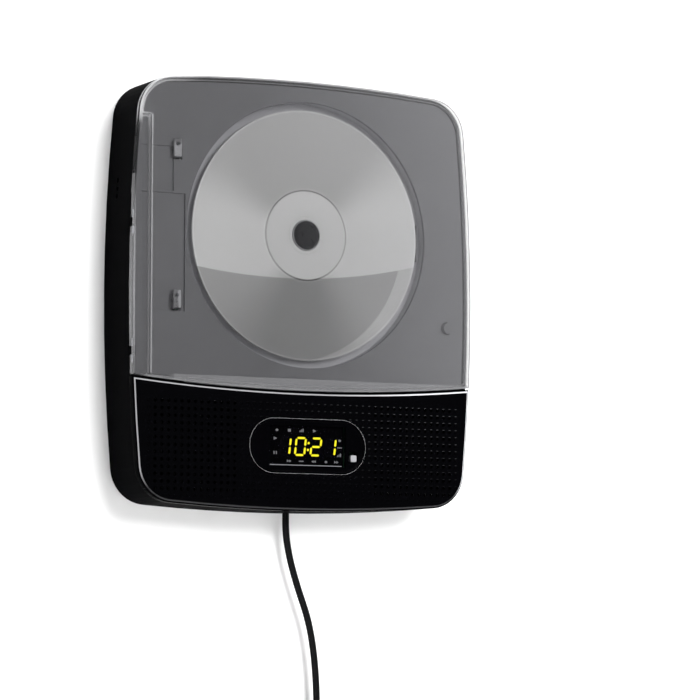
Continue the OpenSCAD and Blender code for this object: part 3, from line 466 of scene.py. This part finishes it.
DATA_TONE, HUB_TONE, HUB_R = 0.48, 0.74, 21.3
FANS = ((194, 20, 58, 0.3), (-12, 30, 68, 0.27))
FIELD_SLOPE, FIELD_CURVE, FIELD_EDGE, FIELD_DIM = 0.046, 0.0017, (20.4, 21.1), 0.47
CRESCENT_U, CRESCENT_V, CRESCENT_EDGE, CRESCENT_GAIN = -10.2, 1.4, (62.1, 62.7), 0.26
RINGS = ((21.0, 21.8, -0.28), (22.1, 22.7, 0.06), (8.9, 9.2, -0.14), (59.2, 60.0, 0.1))
# Painted reflection: a soft fan of light on either side of the disc.
light = DATA_TONE
for where, near, far, gain in FANS:
    light = calc(tree, "ADD", light, product(painted_fan(where, near, far), gain))

# Painted reflection: a darker lower field with a paler crescent in it.
edge_line = calc(tree, "ADD", product(du, FIELD_SLOPE), product(du, du, FIELD_CURVE))
low = step_between(tree, calc(tree, "SUBTRACT", edge_line, dv), *FIELD_EDGE)
away = distance(tree, calc(tree, "SUBTRACT", du, CRESCENT_U), calc(tree, "SUBTRACT", dv, CRESCENT_V))
crescent = step_between(tree, away, *CRESCENT_EDGE)
dim = calc(tree, "SUBTRACT", 1.0, product(low, FIELD_DIM))
dim = calc(tree, "ADD", dim, product(low, crescent, CRESCENT_GAIN))
light = product(light, dim)

hub = step_between(tree, radius, HUB_R + 0.1, HUB_R - 0.1)
light = calc(tree, "ADD", light, product(hub, calc(tree, "SUBTRACT", HUB_TONE, light)))
for inner_r, outer_r, change in RINGS:
    light = calc(tree, "ADD", light, product(band(tree, radius, inner_r, outer_r, 0.15), change))
tone = add(tree, "ShaderNodeCombineXYZ", {0: light, 1: light, 2: light}).outputs[0]
tree.links.new(tone, surface.inputs["Base Color"])

# %% Hub
HUB_EDGE_R = (6.7, 6.9)
hub_dark = plain("hub_dark", "#0b0b0d", 0.45, grain=1200, relief=0.04, edge=0.2, ior=1.15)
tree, surface = shader_of(hub_dark)
overlay(tree, surface, step_between(tree, from_disc_axis(tree)[2], *HUB_EDGE_R), "#b8b8ba")

# %% [markdown]
# ## The display window
# Its back is printed black, with a clear field for the figures and a small one for the lamp.

# %% Window print
CLEAR_FIELDS = ((-19.3, 21.2, -81.5, -62.2), (23.0, 27.6, -78.6, -74.0))
CLEAR_ALPHA = 0.38
PILL_HALF, PILL_R, PILL_X, PILL_Z = 17.8, 13.0, 0.9, -71.9
tree, surface = shader_of(window_black)
x, y, z = axes(tree)
clear = 0.0
for left, right_end, bottom, top in CLEAR_FIELDS:
    here = product(within(tree, x, left, right_end), within(tree, z, bottom, top))
    clear = calc(tree, "MAXIMUM", clear, here)
tree.links.new(spread(tree, clear, 1.0, CLEAR_ALPHA), surface.inputs["Alpha"])

# the painted edge highlight is kept to the outer edge of the window's frame
pu = calc(tree, "ABSOLUTE", calc(tree, "SUBTRACT", product(x, 1000.0), PILL_X))
pu = calc(tree, "MAXIMUM", calc(tree, "SUBTRACT", pu, PILL_HALF), 0.0)
pv = calc(tree, "SUBTRACT", product(z, 1000.0), PILL_Z)
outside = calc(tree, "GREATER_THAN", distance(tree, pu, pv), PILL_R - 0.5)
edge_highlight_share = tree.nodes["edge_highlight_share"].outputs[0]
edge_highlight_mix = edge_highlight_share.links[0].to_node
tree.links.new(product(edge_highlight_share, outside), edge_highlight_mix.inputs[0])

# %% [markdown]
# ## The grille and the boards
# The grille's glossy panel carries a fine square raster: real holes in front of the
# loudspeakers and shallow dimples between them, each with a faint painted highlight on its lip.
# The step round the panel gets a painted highlight, most at the upper right. The boards get faint tracks.

# %% Grille surface
HOLE_PITCH, HOLE_R = 3.4, 0.7
SPEAKER_Z = -73
FIELD_X, FIELD_Z = (-84, 84), (-97, -50)
HOLES_X, HOLES_Z = (-81, 81), (-92.5, -52)
STEP_Y = (-31.4, -31.22)
DIMPLE_DEPTH = 0.6


def offset_from_grid(tree, value, pitch, start):
    """How far a coordinate in metres lies from the nearest line of the raster, in millimetres."""
    mm = calc(tree, "ADD", product(value, 1000.0), pitch / 2 - start)
    return calc(tree, "SUBTRACT", calc(tree, "FLOORED_MODULO", mm, pitch), pitch / 2)


def inverse(share):
    return calc(share.id_data, "SUBTRACT", 1.0, share)


grille_black = plain("grille_black", "#030304", 0.2, grain=700, relief=0.015, edge=0.5, gloss=0.4, ior=1.03)
tree, surface = shader_of(grille_black)
x, y, z = axes(tree)
gu = offset_from_grid(tree, x, HOLE_PITCH, 0)
gv = offset_from_grid(tree, z, HOLE_PITCH, SPEAKER_Z)
dimple = step_between(tree, distance(tree, gu, gv), HOLE_R - 0.15, HOLE_R + 0.15)
field = product(within(tree, x, *FIELD_X), within(tree, z, *FIELD_Z))
depth = inverse(product(inverse(dimple), field))

# Painted highlight: a faint lit lip on each dimple, stronger towards the upper right.
painted_lip_highlights = product(within(tree, product(gu, MM), -0.5, 0.5), band(tree, gv, 0.74, 0.98, 0.1), field)
painted_lip_highlights = product(painted_lip_highlights, rise(tree, x, -50, 85), rise(tree, z, -100, -55), 0.34)
overlay(tree, surface, painted_lip_highlights, "#6c6c70")

holes = product(within(tree, x, *HOLES_X), within(tree, z, *HOLES_Z))
# Painted highlight on the step round the panel, strongest at the upper right and faint at the bottom.
painted_step_highlight = calc(tree, "ADD", product(rise(tree, x, 10, 70), 0.5), 0.42)
painted_step_highlight = calc(tree, "MAXIMUM", product(painted_step_highlight, rise(tree, z, -96, -84)), 0.06)
overlay(tree, surface, product(within(tree, y, *STEP_Y), inverse(holes), painted_step_highlight), "#e0e0e4")

dimples = add(tree, "ShaderNodeBump", {"Height": depth, "Strength": 1.0, "Distance": DIMPLE_DEPTH * MM})
old_bump = surface.inputs["Normal"].links[0].from_node
tree.links.new(old_bump.outputs[0], dimples.inputs["Normal"])
tree.links.new(dimples.outputs[0], surface.inputs["Normal"])

# %% Board surface
board_green = plain("board_green", "#15502f", 0.35, grain=1200, relief=0.03)
tree, surface = shader_of(board_green)
tracks = add(tree, "ShaderNodeTexBrick", {
    "Vector": coords(tree), "Scale": 120.0, "Color1": linear("#1b6a3e"), "Color2": linear("#155232"),
    "Mortar": linear("#2c8350"), "Mortar Size": 0.03,
})
tree.links.new(tracks.outputs[0], surface.inputs["Base Color"])

# %% Every built piece gets its material
MATERIAL_OF_SLOT = {
    m.name.split(".")[0]: m for m in (
        housing_black, grille_black, window_black, lid_smoked, lcd_dark, white_lens, board_green,
        ribbon_grey, steel, dark_plastic, deck_grey, disc_silver, chassis_metal, lens_blue,
        gear_nylon, brass, rubber_black, basket_steel, cone_paper, magnet_ferrite, capacitor_blue,
        heat_sink_alu, button_black, cord_black, adapter_black, pin_metal,
    )
}
MATERIAL_OF_NODE = {
    "rear_cover": cover_charcoal, "stop_arms": arm_grey, "latch_plunger": deck_grey, "turntable": hub_dark,
}
for part in frame["record"]["subparts"]:
    built = nodes[part["node"]]
    built.data.materials.clear()
    built.data.materials.append(MATERIAL_OF_NODE.get(part["node"], MATERIAL_OF_SLOT[part["material_slot"]]))

# %% [markdown]
# ## The lead's twin strands
# Two round strands side by side with a web between them, swept along the line. The flat
# side faces the viewer all the way round the coil.

# %% Lead
STRAND_R, STRAND_OFF = 0.92, 0.83


def strand_outline():
    """The twin lead's cross-section: round lobes left and right that meet in two grooves."""
    groove = math.acos(-STRAND_OFF / STRAND_R)
    lobe = [groove * k / 5 for k in range(-5, 6)]
    right_lobe = [(STRAND_OFF + STRAND_R * math.cos(a), STRAND_R * math.sin(a)) for a in lobe]
    return right_lobe + [(-u, -v) for u, v in right_lobe[1:-1]]


profile = strand_outline()
points, faces = [], []
for i, here in enumerate(line):
    ahead = (Vector(line[min(i + 1, len(line) - 1)]) - Vector(line[max(i - 1, 0)])).normalized()
    wide = ahead.cross(Vector((0, 1, 0.001))).normalized()
    thick = wide.cross(ahead)
    points += [Vector(here) + wide * u + thick * v for u, v in profile]
n = len(profile)
for i in range(0, (len(line) - 1) * n, n):
    faces += [[i + k, i + (k + 1) % n, i + n + (k + 1) % n, i + n + k] for k in range(n)]
faces += [list(range(n))[::-1], [(len(line) - 1) * n + k for k in range(n)]]
lead = mesh_piece("lead", points, faces, cord_black, "cabinet", "cord_black", smooth=True)
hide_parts("power_cord", "cord_coil", "cord_tail")

# %% [markdown]
# ## The display
# Four seven-segment figures with a colon show a plain time behind the window. Round them
# stand small generic signs, and a bright line closes the panel at the bottom.

# %% Figures
PANEL_Y = -30.32
FIGURE_H, PANEL_SIGN_H, PANEL_LINE_H = 0.08, 0.05, 0.06
SIGN_U, SIGN_V = 1.3, 1.1
DIGIT_W, DIGIT_H, STROKE, SEGMENT_GAP = 5.9, 9.0, 0.95, 0.32
SLANT, DOT_R = 0.12, 0.55
DIGIT_TOP = -67.4
DIGIT_LEFT = (-13.0, -5.0, 3.25, 11.0)
COLON_U, COLON_Z = 2.1, (-70.2, -73.4)
SHOWN = (1, 0, 2, 1)
SEGMENTS_OF = {0: "abcdef", 1: "bc", 2: "abged"}


def front(depth):
    """Places a front view's (u, v) on the plane depth, raised towards the viewer by h."""
    return lambda u, v, h: (u, depth - h, v)


def bar(u0, v0, u1, v1):
    """A segment: a bar with pointed ends."""
    half = STROKE / 2
    if v0 == v1:
        return [(u0, v0), (u0 + half, v0 - half), (u1 - half, v0 - half), (u1, v0), (u1 - half, v0 + half),
                (u0 + half, v0 + half)]
    return [(u0, v0), (u0 + half, v0 + half), (u0 + half, v1 - half), (u0, v1), (u0 - half, v1 - half),
            (u0 - half, v0 + half)]


def segment_bars(left):
    low, mid, top = DIGIT_TOP - DIGIT_H, DIGIT_TOP - DIGIT_H / 2, DIGIT_TOP
    g, inset = SEGMENT_GAP, STROKE / 2
    l, r = left + inset, left + DIGIT_W - inset
    low, top = low + inset, top - inset
    return {
        "a": bar(l + g, top, r - g, top), "g": bar(l + g, mid, r - g, mid),
        "d": bar(l + g, low, r - g, low),
        "f": bar(l, mid + g, l, top - g), "b": bar(r, mid + g, r, top - g),
        "e": bar(l, low + g, l, mid - g), "c": bar(r, low + g, r, mid - g),
    }


def disc_sign(r):
    return [[(r * math.cos(a), r * math.sin(a)) for a in (math.pi * k / 6 for k in range(12))]]


def slanted(outline):
    return [(u + SLANT * (v - DIGIT_TOP + DIGIT_H / 2), v) for u, v in outline]


lit, unlit = [], []
for digit, left in zip(SHOWN, DIGIT_LEFT):
    for name, outline in segment_bars(left).items():
        bars = lit if name in SEGMENTS_OF[digit] else unlit
        bars.append(prism(slanted(outline), 0, FIGURE_H, front(PANEL_Y)))
for z in COLON_Z:
    colon = [(u + COLON_U, v + z) for u, v in disc_sign(DOT_R)[0]]
    lit.append(prism(slanted(colon), 0, FIGURE_H, front(PANEL_Y)))
mesh_piece("figures_lit", *joined(lit), segment_lit, "cabinet", "lcd_dark")
mesh_piece("figures_unlit", *joined(unlit), segment_off, "cabinet", "lcd_dark")

# %% Signs
def block(u, v, w, h):
    return [(u - w / 2, v - h / 2), (u + w / 2, v - h / 2), (u + w / 2, v + h / 2), (u - w / 2, v + h / 2)]


SIGNS = {
    "dot": disc_sign(DOT_R),
    "play": [[(-0.6, -0.7), (0.8, 0), (-0.6, 0.7)]],
    "pause": [block(-0.45, 0, 0.4, 1.4), block(0.45, 0, 0.4, 1.4)],
    "stop": [block(0, 0, 1.2, 1.2)],
    "bars": [block(-0.8, -0.3, 0.4, 0.7), block(-0.2, -0.1, 0.4, 1.1), block(0.4, 0.1, 0.4, 1.5)],
    "dash": [block(0, 0, 1.9, 0.45)],
    "next": [[(-0.9, -0.6), (0, 0), (-0.9, 0.6)], [(0, -0.6), (0.9, 0), (0, 0.6)]],
    "back": [[(0.9, 0.6), (0, 0), (0.9, -0.6)], [(0, 0.6), (-0.9, 0), (0, -0.6)]],
    "lift": [[(-0.8, -0.1), (0.8, -0.1), (0, 0.8)], block(0, -0.55, 1.6, 0.35)],
    "power": [block(0, 0.45, 0.3, 1.1), block(0, -0.7, 1.2, 0.3), block(-0.65, -0.2, 0.3, 1.1),
              block(0.65, -0.2, 0.3, 1.1)],
}
ON_PANEL = [
    ("dot", -14.5, -64.4), ("stop", -7.9, -64.4), ("bars", -1.2, -64.4), ("play", 5.4, -64.4),
    ("play", -15.4, -68.3), ("pause", -15.4, -75.1), ("dot", 18.9, -68.6), ("dash", 18.9, -72.0),
    ("bars", 18.9, -75.6), ("next", -8.0, -78.9), ("dash", -1.6, -78.9), ("back", 5.0, -78.9),
    ("dot", 11.6, -78.9), ("next", 17.2, -78.9),
]
shapes = [
    prism([(u * SIGN_U + x, v * SIGN_V + z) for u, v in outline], 0, PANEL_SIGN_H, front(PANEL_Y))
    for sign, x, z in ON_PANEL for outline in SIGNS[sign]
]
mesh_piece("panel_signs", *joined(shapes), mark_grey, "cabinet", "lcd_dark")
closing_line = [(-18.2, -80.95), (20, -80.95), (20, -80.6), (-18.2, -80.6)]
shape = prism(closing_line, 0, PANEL_LINE_H, front(PANEL_Y))
mesh_piece("panel_line", *shape, glow_line, "cabinet", "lcd_dark")

# %% [markdown]
# ## Signs on the buttons and inside the sockets
# Each button's cap carries a raised generic sign, and the USB socket has its tongue with
# four contacts.

# %% Button signs
BUTTON_SIGNS = ("power", "play", "stop", "back", "next", "lift")
BUTTON_SIGN_SIZE, BUTTON_SIGN_H = 1.5, 0.08


def on_cap(x, y, top):
    """Places a button sign's (u, v) on top of its cap, seen from above."""
    return lambda u, v, h: (x + u, y + v, top + h)


for i, sign in enumerate(BUTTON_SIGNS):
    low_corner, high_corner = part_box(f"button_{i + 1}")
    x, y = ((a + b) / 2 / MM for a, b in zip(low_corner[:2], high_corner[:2]))
    top = high_corner[2] / MM
    shapes = []
    for outline in SIGNS[sign]:
        enlarged = [(u * BUTTON_SIGN_SIZE, v * BUTTON_SIGN_SIZE) for u, v in outline]
        shapes.append(prism(enlarged, 0, BUTTON_SIGN_H, on_cap(x, y, top)))
    mesh_piece(f"button_sign_{i + 1}", *joined(shapes), sign_white, f"key_{i + 1}", "white_lens")

# %% Inside the sockets
USB_MOUTH, USB_Z, SOCKET_Y = 87.2, 67, -14
TONGUE_START, CONTACT_START, CONTACT_V = 76.1, 77.5, (-3.5, -1.0, 1.0, 3.5)


def from_the_right(depth):
    """Places a socket's cross-section, raised towards its mouth by h."""
    return lambda u, v, h: (h, SOCKET_Y + depth + u, USB_Z + v)


tongue = [(-1.1, -5.2), (0.9, -5.2), (1.1, -5.0), (1.1, 5.0), (0.9, 5.2), (-1.1, 5.2)]
shape = prism(tongue, TONGUE_START, USB_MOUTH - 1.2, from_the_right(-1.4))
mesh_piece("usb_tongue", *shape, tongue_white, "cabinet", "white_lens")
contacts = [
    prism(block(0, v, 0.1, 1.0), CONTACT_START, USB_MOUTH - 2.2, from_the_right(-0.25))
    for v in CONTACT_V
]
mesh_piece("usb_contacts", *joined(contacts), contact_gold, "cabinet", "brass")

# %% [markdown]
# ## Wall, floor and light
# The player hangs on a white wall, which is seen from its own side only, so a view from
# behind shows the player. The wall has an opening behind the player that lets light reach
# its back. A pale floor far below throws light up and isn't seen itself. A large soft light
# stands in front, above and to the right, a small one to the right gives the lid and the
# grille their sheen, and a wide weak one fills in from the left. The surround is weak in
# front, so that shadows keep their depth, and stronger behind, for the views from there.

# %% Wall and floor
FLOOR_Z, WALL_Y, WALL_END, FLOOR_END = -0.345, 0.0006, 1.1, 6.0
OPENING, SQUARENESS = (0.0865, 0.0985), 6.0


def seen_from_the_front(name, colour, opening=None):
    """A matt surface that is clear from behind. An opening makes it clear round the origin too."""
    material = bpy.data.materials.new(name)
    material.use_nodes = True
    tree = material.node_tree
    surface = tree.nodes["Principled BSDF"]
    surface.inputs["Base Color"].default_value = linear(colour)
    surface.inputs["Roughness"].default_value = 0.95
    surface.inputs["Specular IOR Level"].default_value = 0.0
    clear = add(tree, "ShaderNodeBsdfTransparent")
    gone = add(tree, "ShaderNodeNewGeometry").outputs["Backfacing"]
    if opening:
        x, _, z = axes(tree)
        shares = [calc(tree, "ABSOLUTE", product(value, 1 / half)) for value, half in zip((x, z), opening)]
        rounded = calc(tree, "ADD", *[calc(tree, "POWER", share, SQUARENESS) for share in shares])
        gone = calc(tree, "MAXIMUM", gone, calc(tree, "LESS_THAN", rounded, 1.0))
    mix = add(tree, "ShaderNodeMixShader", {0: gone, 1: surface.outputs[0], 2: clear.outputs[0]})
    tree.links.new(mix.outputs[0], tree.nodes["Material Output"].inputs[0])
    return material


def stage_plane(name, corners, material):
    mesh = bpy.data.meshes.new(name)
    mesh.from_pydata(corners, [], [[0, 1, 2, 3]])
    mesh.materials.append(material)
    plane = bpy.data.objects.new(name, mesh)
    bpy.context.scene.collection.objects.link(plane)
    return plane


stage_plane("wall", [
    (-WALL_END, WALL_Y, FLOOR_Z), (WALL_END, WALL_Y, FLOOR_Z), (WALL_END, WALL_Y, WALL_END),
    (-WALL_END, WALL_Y, WALL_END),
], seen_from_the_front("wall_white", "#f6f6f6", OPENING))
floor = stage_plane("floor", [
    (-FLOOR_END, -FLOOR_END, FLOOR_Z), (FLOOR_END, -FLOOR_END, FLOOR_Z), (FLOOR_END, WALL_Y, FLOOR_Z),
    (-FLOOR_END, WALL_Y, FLOOR_Z),
], seen_from_the_front("floor_pale", "#f2f2f2"))
floor.visible_camera = False

# %% Light
world = bpy.data.worlds.new("room")
bpy.context.scene.world = world
world.use_nodes = True
tree = world.node_tree
SURROUND_FRONT, SURROUND_BEHIND = 0.24, 0.9
path = add(tree, "ShaderNodeLightPath")
direction = add(tree, "ShaderNodeTexCoord").outputs["Generated"]
toward_wall = add(tree, "ShaderNodeSeparateXYZ", {0: direction}).outputs[1]
surround = spread(tree, step_between(tree, toward_wall, -0.1, 0.1), SURROUND_FRONT, SURROUND_BEHIND)
strength = spread(tree, path.outputs["Is Camera Ray"], surround, 1.0)
tree.links.new(strength, tree.nodes["Background"].inputs["Strength"])
tree.nodes["Background"].inputs["Color"].default_value = (1, 1, 1, 1)


def soft_light(name, place, aim, size, watts):
    lamp = bpy.data.objects.new(name, bpy.data.lights.new(name, "AREA"))
    lamp.data.shape = "DISK"
    lamp.data.size = size
    lamp.data.energy = watts
    lamp.location = place
    lamp.rotation_euler = (Vector(aim) - Vector(place)).to_track_quat("-Z", "Y").to_euler()
    bpy.context.scene.collection.objects.link(lamp)
    return lamp


soft_light("key", (0.6, -2.4, 1.0), (0, 0, 0), 1.5, 98)
soft_light("sheen", (1.75, -1.7, 0.25), (0, 0, 0), 0.7, 6)
soft_light("fill", (-2.2, -1.9, 0.2), (0, 0, 0), 1.8, 9)

scene = bpy.context.scene
scene.view_settings.view_transform = "Standard"
